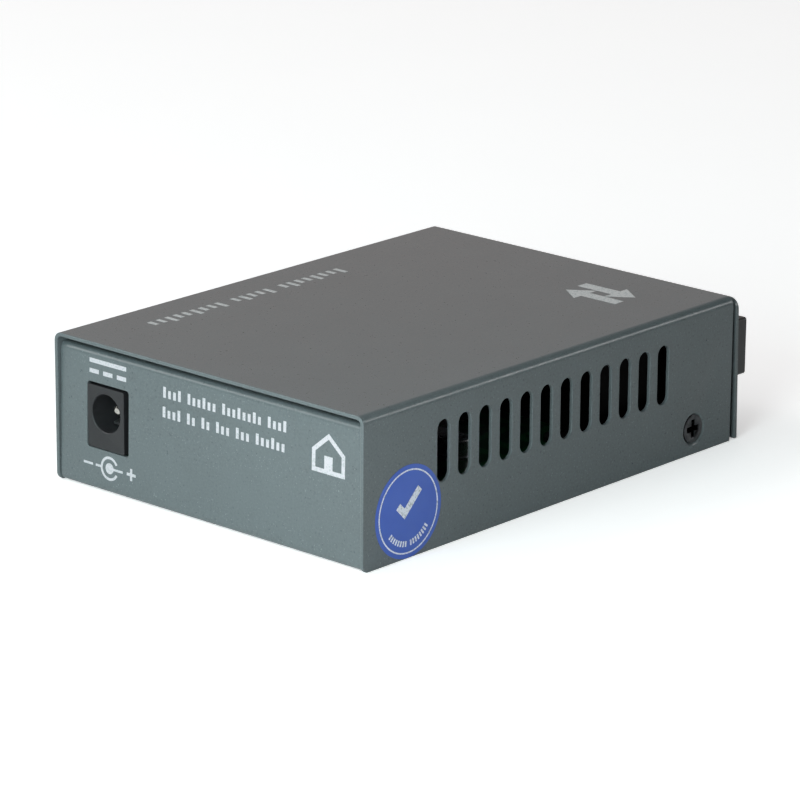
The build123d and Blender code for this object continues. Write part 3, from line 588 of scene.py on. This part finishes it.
def marks_tree(material):
    """Geometry nodes: one bar of ink at each point, as long and as tall as the point says."""
    tree, given = start_tree("bars_of_ink", ["Depth"])
    length, height, turn = [
        add(tree, "GeometryNodeInputNamedAttribute", {"Name": name}, data_type="FLOAT")
        for name in ("length", "height", "turn")
    ]
    size = add(tree, "ShaderNodeCombineXYZ", {"X": 1.0, "Y": 1.0, "Z": given["Depth"]})
    bar = add(tree, "GeometryNodeMeshCube", {"Size": size})
    scale = add(tree, "ShaderNodeCombineXYZ", {"X": length, "Y": height, "Z": 1.0})
    spin = add(tree, "ShaderNodeCombineXYZ", {"Z": turn})
    spread = {"Points": given["Geometry"], "Instance": bar, "Rotation": spin, "Scale": scale}
    bars = add(tree, "GeometryNodeInstanceOnPoints", spread)
    return end_tree(tree, bars, material)


def grown(name, tree, points, attributes, sizes):
    """Plain mesh that a geometry tree grows on points, with its inputs set by name."""
    mesh = bpy.data.meshes.new(name)
    mesh.from_pydata([Vector(point) * MM for point in points], [], [])
    for key, values in attributes.items():
        mesh.attributes.new(key, "FLOAT", "POINT").data.foreach_set("value", values)
    draft = placed(name + "_draft", mesh)
    modifier = draft.modifiers.new("grow", "NODES")
    modifier.node_group = tree
    sockets = {item.name: item.identifier for item in tree.interface.items_tree if item.in_out == "INPUT"}
    for key, value in sizes.items():
        modifier[sockets[key]] = value
    done = baked(draft)
    bpy.data.meshes.remove(mesh)
    return done


ink_bars = marks_tree(pale_ink)


def ink_marks(name, marks, place, ink):
    """Bars of ink on a face; each mark is its middle, length, height and turn."""
    mesh = grown(
        name,
        ink_bars,
        [(u, v, (ink_proud - ink_depth) / 2) for u, v, length, height, turn in marks],
        {
            "length": [mark[2] * MM for mark in marks],
            "height": [mark[3] * MM for mark in marks],
            "turn": [mark[4] for mark in marks],
        },
        {"Depth": (ink_depth + ink_proud) * MM},
    )
    mesh.transform(place)
    finish_piece(name, mesh, ink)


def row_of_marks(start, level, words, step, width, low, tall):
    """Plain upright bars in groups, like words in a line, the first and every third one taller."""
    marks = []
    for word in words:
        for n in range(word):
            height = tall if n % tall_every == 0 else low
            marks.append((start + n * step + width / 2, level + height / 2, width, height, 0.0))
        start += (word + word_gap) * step
    return marks


rear_marks = row_of_marks(-10.4, 19.55, [4, 6, 8, 4], **rear_bars)
rear_marks += row_of_marks(-10.5, 16.15, [4, 2, 2, 3, 3, 6], **rear_bars)
ink_marks("rear_print", rear_marks, rear_face, pale_ink)

# The line on top runs along the left edge and reads from the port end.
top_face = face_place((0.0, 0.0, cover_top), (0.0, -1.0, 0.0), (1.0, 0.0, 0.0))
ink_marks("cover_line", row_of_marks(-10.3, -27.4, [8, 5, 9], **cover_bars), top_face, grey_ink)

# Two opposite arrows: one kind of cable in, the other out.
arrow = [(-6.0, 1.0), (1.6, 1.0), (1.6, -0.9), (6.0, 2.2), (1.6, 5.3), (1.6, 3.4), (-6.0, 3.4)]
back_arrow = [(-u, -v) for u, v in arrow]
arrows_face = face_place((17.0, 29.9, cover_top), (-1.0, 0.0, 0.0), (0.0, -1.0, 0.0))
plate("two_arrows", [arrow, back_arrow], arrows_face, grey_ink)

# Port wall: short groups of bars beside each row of lamps, over each column and over the ports.
front_face = face_place((0.0, front_wall, 0.0), (-1.0, 0.0, 0.0), (0.0, 0.0, 1.0))
lamp_print_edge = 26.25
column_print_lead = 0.9
jack_print_foot = 22.4
fibre_print_foot = 22.0
front_marks = []
for lamp_row in (10.4, 15.0, 19.6):
    foot = lamp_row - (lamp_bars["low"] + lamp_bars["tall"]) / 4
    front_marks += row_of_marks(lamp_print_edge, foot, [3], **lamp_bars)
for lamp_column in (16.0, 22.2):
    front_marks += row_of_marks(lamp_column - column_print_lead, jack_print_foot, [3], **column_bars)
for start in (-31.2, -18.6):
    front_marks += row_of_marks(start, fibre_print_foot, [2], **port_bars)
front_marks += row_of_marks(0.2, jack_print_foot, [3, 4], **port_bars)
ink_marks("front_print", front_marks, front_face, pale_ink)

# Label: a thin ring, a tick in the middle and an arc of bars below it, with a gap at its middle.
label_place = face_place((label_face, *label_middle), (0.0, 1.0, 0.0), (0.0, 0.0, 1.0))
tick = [(-2.9, 0.9), (-2.0, 1.8), (-0.9, 0.7), (2.3, 3.9), (3.2, 3.0), (-0.9, -1.1)]
ring_steps = 72
ring_end = 360 - 360 / ring_steps
ring = [arc((0, 0), radius, 0, ring_end, ring_steps - 1) for radius in (7.1, 6.85)]
plate("label_marks", [tick, *ring], label_place, label_ink)
arc_radius = 5.4
arc_bars = 17
arc_step = 6.5
arc_marks = []
for n in range(arc_bars):
    turn = math.radians(-90 + (n - arc_bars // 2) * arc_step)
    if n != arc_bars // 2:
        middle = (arc_radius * math.cos(turn), arc_radius * math.sin(turn))
        arc_marks.append((*middle, 0.34, 0.95, turn + math.pi / 2))
ink_marks("label_bars", arc_marks, label_place, label_ink)


def winding_tree(material):
    """Geometry nodes: one layer of round wire wound in a helix."""
    tree, given = start_tree("wound_wire", ["Turns", "Radius", "Height", "Wire"])
    spiral = {
        "Resolution": 28,
        "Rotations": given["Turns"],
        "Start Radius": given["Radius"],
        "End Radius": given["Radius"],
        "Height": given["Height"],
    }
    round_wire = {"Resolution": 10, "Radius": given["Wire"]}
    helix = add(tree, "GeometryNodeCurveSpiral", spiral)
    section = add(tree, "GeometryNodeCurvePrimitiveCircle", round_wire, mode="RADIUS")
    swept = {"Curve": helix, "Profile Curve": section, "Fill Caps": True}
    wire = add(tree, "GeometryNodeCurveToMesh", swept)
    smooth = add(tree, "GeometryNodeSetShadeSmooth", {"Geometry": wire})
    return end_tree(tree, smooth, material)


low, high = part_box("inductor_winding")
wire = wire_radius * MM
helix_sizes = {
    "Turns": winding_turns,
    "Radius": (high.x - low.x) / 2 - wire,
    "Height": high.z - low.z - 2 * wire,
    "Wire": wire,
}
winding = grown("wound_wire", winding_tree(enamelled), [(0.0, 0.0, 0.0)], {}, helix_sizes)
middle = (low + high) / 2
winding.transform(Matrix.Translation((middle.x, middle.y, low.z + wire)))
finish_piece("wound_wire", winding, enamelled, ("inductor_winding",))


def solder_tree(material):
    """Geometry nodes: a cone of solder under the board round each lead, as wide as the point says."""
    tree, given = start_tree("solder_joints", ["Foot", "Tip", "Depth"])
    joint = {
        "Vertices": 12,
        "Side Segments": 2,
        "Radius Bottom": given["Tip"],
        "Radius Top": given["Foot"],
        "Depth": given["Depth"],
    }
    cone = add(tree, "GeometryNodeMeshCone", joint)
    width = add(tree, "GeometryNodeInputNamedAttribute", {"Name": "width"}, data_type="FLOAT")
    scale = add(tree, "ShaderNodeCombineXYZ", {"X": width, "Y": width, "Z": 1.0})
    spread = {"Points": given["Geometry"], "Instance": cone, "Scale": scale}
    joints = add(tree, "GeometryNodeInstanceOnPoints", spread)
    return end_tree(tree, joints, material)


def lead_row(middle_x, y, spacing, count, width):
    """Places and widths of a row of soldered leads."""
    return [(middle_x + (n - (count - 1) / 2) * spacing, y, width) for n in range(count)]


leads = lead_row(module_x, module_pin_row, module_pin_pitch, module_pin_count, 1.0)
leads += lead_row(jack_x, contact_row, contact_pitch, contact_count, 0.7)
leads += lead_row(jack_x, shield_tail_row, 2 * shield_tail_reach, 2, 1.7)
for row in inlet_lead_rows:
    leads += lead_row(inlet_x, row, 0.0, 1, 2.2)
solder = grown(
    "solder_joints",
    solder_tree(tin),
    [(x, y, board_under - joint_depth) for x, y, width in leads],
    {"width": [width for x, y, width in leads]},
    {"Foot": joint_foot * MM, "Tip": joint_tip * MM, "Depth": joint_depth * MM},
)
finish_piece("solder_joints", solder, tin)

# Floor, and a faint even light from all round
floor_reach = 4.0
world_strength = 0.02
floor_mesh = bpy.data.meshes.new("paper_sweep")
floor_outline = oblong(-floor_reach, -floor_reach, floor_reach, floor_reach)
floor_mesh.from_pydata([(x, y, 0.0) for x, y in floor_outline], [], [(0, 1, 2, 3)])
floor_mesh.materials.append(studio_floor())
floor = placed("paper_sweep", floor_mesh)

world = bpy.data.worlds.new("studio")
world.use_nodes = True
background = {"Color": (1.0, 1.0, 1.0, 1.0), "Strength": world_strength}
feed(world.node_tree, world.node_tree.nodes["Background"], background)
bpy.context.scene.world = world
bpy.context.scene.view_settings.view_transform = "Standard"

# Lights, with places, sizes and powers in metres and watts
white = (1.0, 1.0, 1.0)
object_middle = Vector((0.0, 0.0, 13.0)) * MM
near_corner = Vector((35.0, -50.0, 13.0)) * MM


def soft_light(name, where, width, height, colour, power, aim=object_middle):
    """Area light that looks at the object or at a corner of it."""
    light = bpy.data.lights.new(name, "AREA")
    light.shape = "RECTANGLE"
    light.size = width
    light.size_y = height
    light.color = colour
    light.energy = power
    lamp = placed(name, light)
    lamp.location = where
    lamp.rotation_euler = (aim - Vector(where)).to_track_quat("-Z", "Y").to_euler()
    return lamp


soft_light("overhead_softbox", (0.0, 0.15, 1.4), 1.2, 1.2, white, 5.4)
soft_light("upper_left_softbox", (-0.86, -0.62, 0.8), 0.5, 1.0, white, 7.4)
soft_light("low_front_softbox", (0.1, -0.5, 0.2), 0.35, 0.25, (0.79, 0.99, 1.0), 1.68)
soft_light("background_panel", (-1.02, 1.14, 0.5), 1.8, 0.9, (1.0, 0.83, 0.8), 2.88)
corner_light = soft_light("corner_light", (0.12, -0.2, 0.08), 0.08, 0.08, white, 0.2, near_corner)
corner_light.visible_camera = False
corner_light.visible_glossy = False
edge_light = soft_light("edge_light", (0.74, 0.85, 0.41), 0.2, 0.2, white, 1.7)
edge_light.visible_diffuse = False

# The photograph's camera: a long lens above the corner between the inlet end and the label side.
azimuth = math.radians(41.901)
elevation = math.radians(17.341)
roll = math.radians(0.395)
camera_place = Vector((461.784, -517.702, 226.629)) * MM
photo_width = 800
focal_length = 4221.806 / photo_width
sensor_width = 36.0
back = Vector(
    (math.sin(azimuth) * math.cos(elevation), -math.cos(azimuth) * math.cos(elevation), math.sin(elevation))
)
level = Vector((math.cos(azimuth), math.sin(azimuth), 0.0))
upright = back.cross(level)
right = level * math.cos(roll) + upright * math.sin(roll)
up = upright * math.cos(roll) - level * math.sin(roll)
camera_data = bpy.data.cameras.new("camera")
camera_data.sensor_width = sensor_width
camera_data.lens = focal_length * sensor_width
camera_data.clip_start = 0.05
camera_data.clip_end = 20.0
camera = placed("camera", camera_data)
camera.matrix_world = Matrix.Translation(camera_place) @ Matrix((right, up, back)).transposed().to_4x4()
bpy.context.scene.camera = camera
